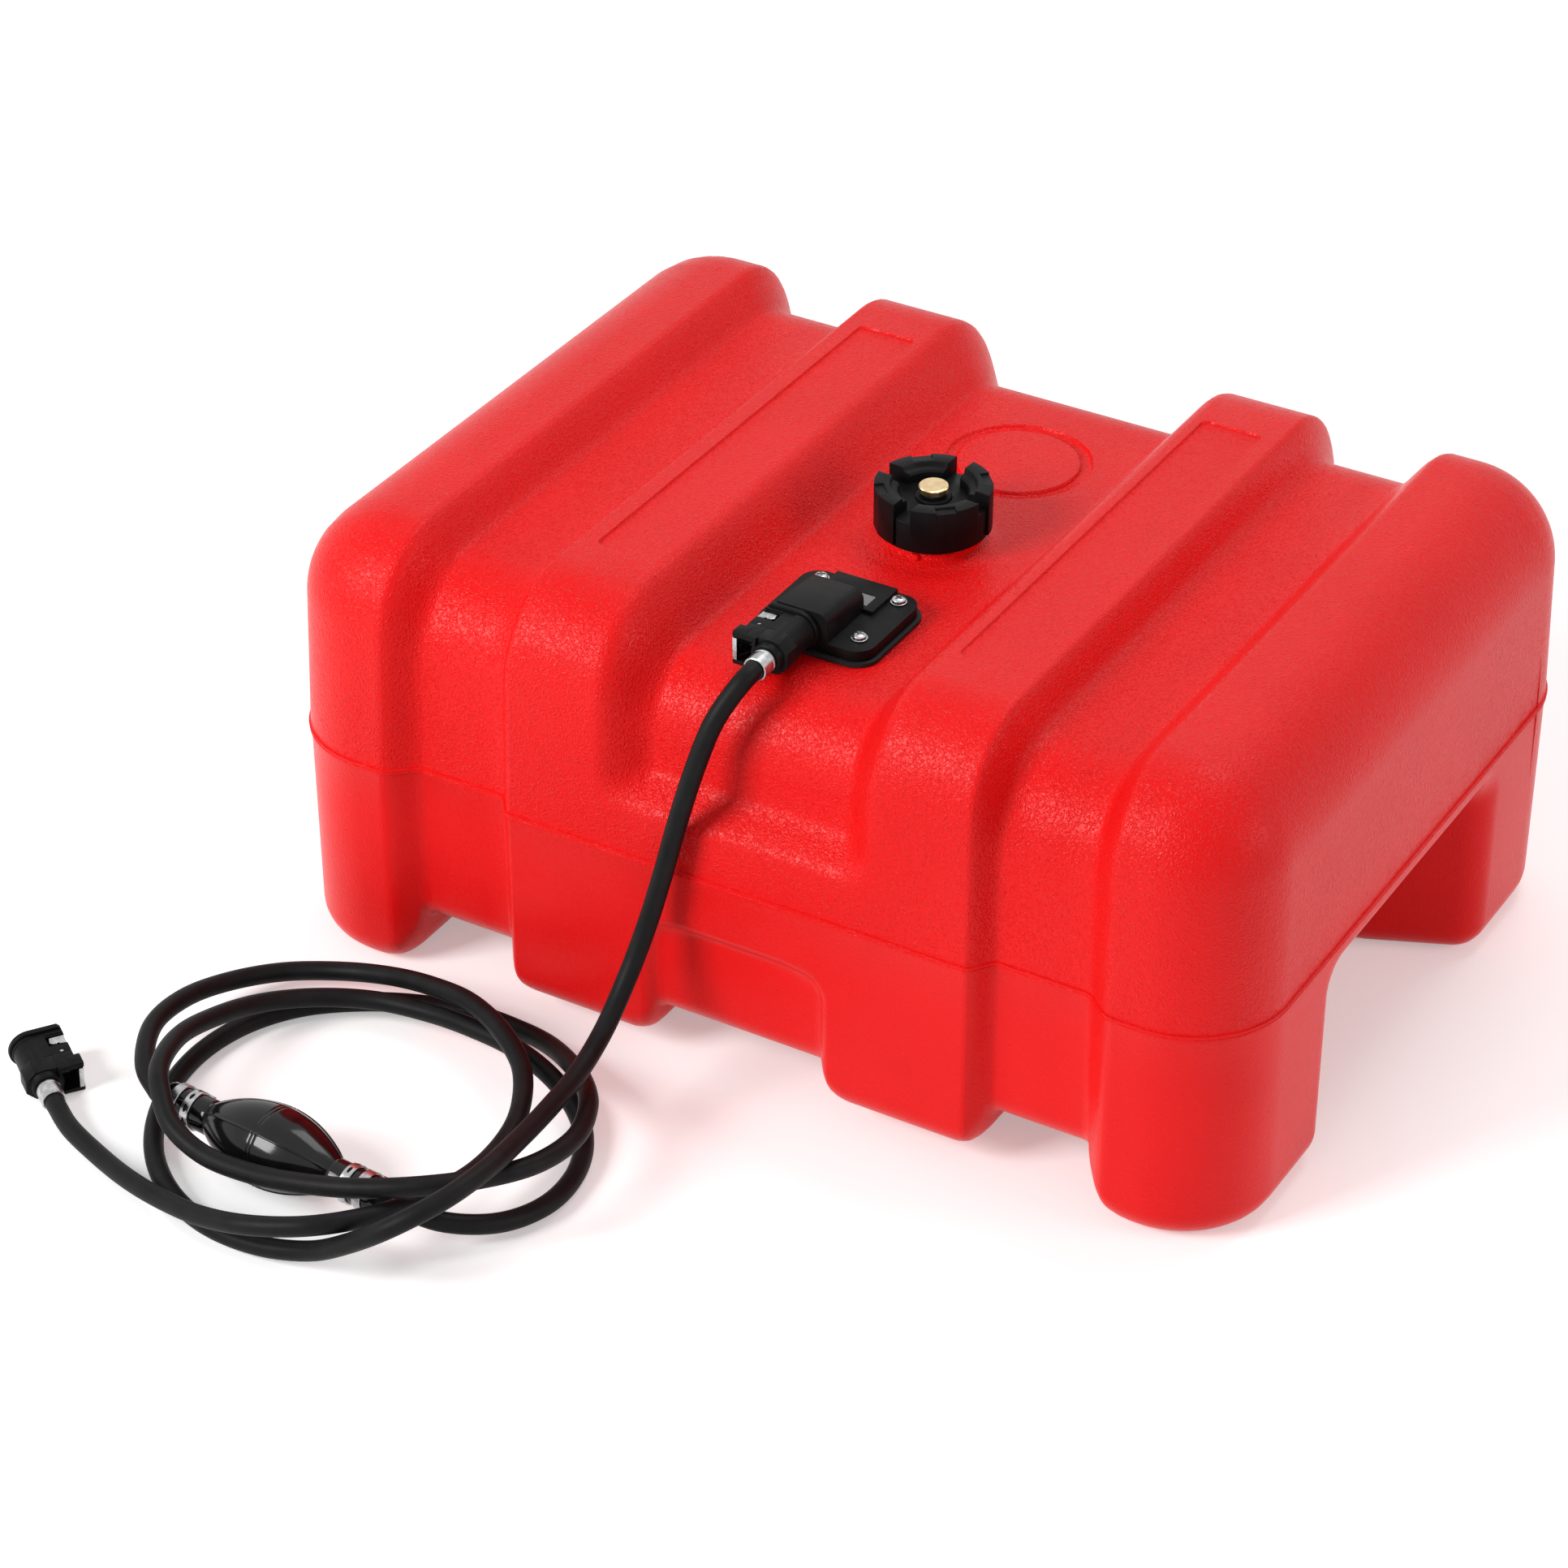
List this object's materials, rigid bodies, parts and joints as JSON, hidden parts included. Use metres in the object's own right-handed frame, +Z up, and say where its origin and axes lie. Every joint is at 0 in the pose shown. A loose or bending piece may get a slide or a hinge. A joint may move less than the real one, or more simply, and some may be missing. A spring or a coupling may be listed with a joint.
{
  "type": "outboard fuel tank",
  "caption": "Portable moulded fuel tank with screw cap and vent, float gauge and pickup fitting, and a fuel line with primer bulb and latching connectors",
  "frame": {"origin": "middle of the tank's footprint, on the surface that its feet stand on", "axes": "+X across the front, to the right for someone facing it; +Y from the front to the back; +Z up"},
  "size_m": [0.7082, 0.759, 0.2997],
  "materials": {
    "red_plastic": "fine pebble grain, semi-matt",
    "black_plastic": "satin",
    "black_rubber": "satin rubber",
    "brass": "turned",
    "steel": "plated",
    "clear_plastic": "clear plastic",
    "white_plastic": "natural nylon",
    "cork": "varnished cork",
    "pointer_red": "matt"
  },
  "bodies": {
    "tank": {"tank_shell": "red_plastic", "fitting_body": "black_plastic", "fitting_gasket": "black_rubber", "fitting_screw_1": "steel", "fitting_screw_2": "steel", "fitting_screw_3": "steel", "fitting_screw_4": "steel", "screw_washer_1": "steel", "screw_washer_2": "steel", "screw_washer_3": "steel", "screw_washer_4": "steel", "threaded_insert_1": "brass", "threaded_insert_2": "brass", "threaded_insert_3": "brass", "threaded_insert_4": "brass", "gauge_window": "clear_plastic", "pickup_tube": "white_plastic", "pickup_strainer": "white_plastic", "outlet_spigot": "brass", "latch_post": "steel"},
    "cap_lift_carrier": {"cap_gasket": "black_rubber"},
    "cap": {"filler_cap": "black_plastic"},
    "vent_riser": {"vent_seal": "black_rubber"},
    "vent_screw": {"vent_stem": "brass", "vent_knob": "brass"},
    "gauge_float": {"float_arm": "steel", "float": "cork", "gauge_pointer": "pointer_red"},
    "hose_line": {"tank_connector_body": "black_plastic", "tank_connector_pin": "steel", "tank_connector_oring": "black_rubber", "tank_ferrule": "steel", "fuel_hose_tank": "black_rubber", "bulb_inlet_valve": "brass", "primer_bulb": "black_rubber", "bulb_outlet_valve": "brass", "hose_clamp_1": "steel", "hose_clamp_2": "steel", "hose_clamp_3": "steel", "hose_clamp_4": "steel", "fuel_hose_engine": "black_rubber", "engine_ferrule": "steel", "engine_connector_body": "black_plastic", "engine_connector_pin": "steel", "engine_connector_oring": "black_rubber"},
    "tank_latch": {"tank_connector_latch": "steel"},
    "engine_latch": {"engine_connector_latch": "steel"}
  },
  "joints": [
    {"name": "cap_lift", "type": "slide", "parent": "tank", "child": "cap_lift_carrier", "axis": [0, 0, 1], "range_m": [0, 0.06]},
    {"name": "cap_turn", "type": "hinge", "parent": "cap_lift_carrier", "child": "cap", "pos_m": [0, -0.0026, 0.287], "axis": [0, 0, 1], "range_deg": [0, 360]},
    {"name": "vent_rise", "type": "slide", "parent": "cap", "child": "vent_riser", "axis": [0, 0, 1], "range_m": [0, 0.0031]},
    {"name": "vent_turn", "type": "hinge", "parent": "vent_riser", "child": "vent_screw", "pos_m": [0, -0.0026, 0.294], "axis": [0, 0, 1], "range_deg": [0, 1080]},
    {"name": "float_swing", "type": "hinge", "parent": "tank", "child": "gauge_float", "pos_m": [0, -0.113, 0.256], "axis": [0, 1, 0], "range_deg": [-70, 0]},
    {"name": "connector_pull", "type": "slide", "parent": "tank", "child": "hose_line", "axis": [0, -1, 0], "range_m": [0, 0.03]},
    {"name": "tank_latch_press", "type": "hinge", "parent": "hose_line", "child": "tank_latch", "pos_m": [-0.0186, -0.1733, 0.277], "axis": [0, 0, 1], "range_deg": [0, 6], "stiffness_Nm_per_rad": 0.2, "springref_deg": -5.73},
    {"name": "engine_latch_press", "type": "hinge", "parent": "hose_line", "child": "engine_latch", "pos_m": [-0.34917, -0.42645, 0.01232], "axis": [-0.0697, 0.0494, -0.9963], "range_deg": [0, 6], "stiffness_Nm_per_rad": 0.2, "springref_deg": -5.73}
  ],
  "couplings": [
    {"joint": "vent_rise", "follows": "vent_turn", "m_per_rad": 0.00015915}
  ]
}
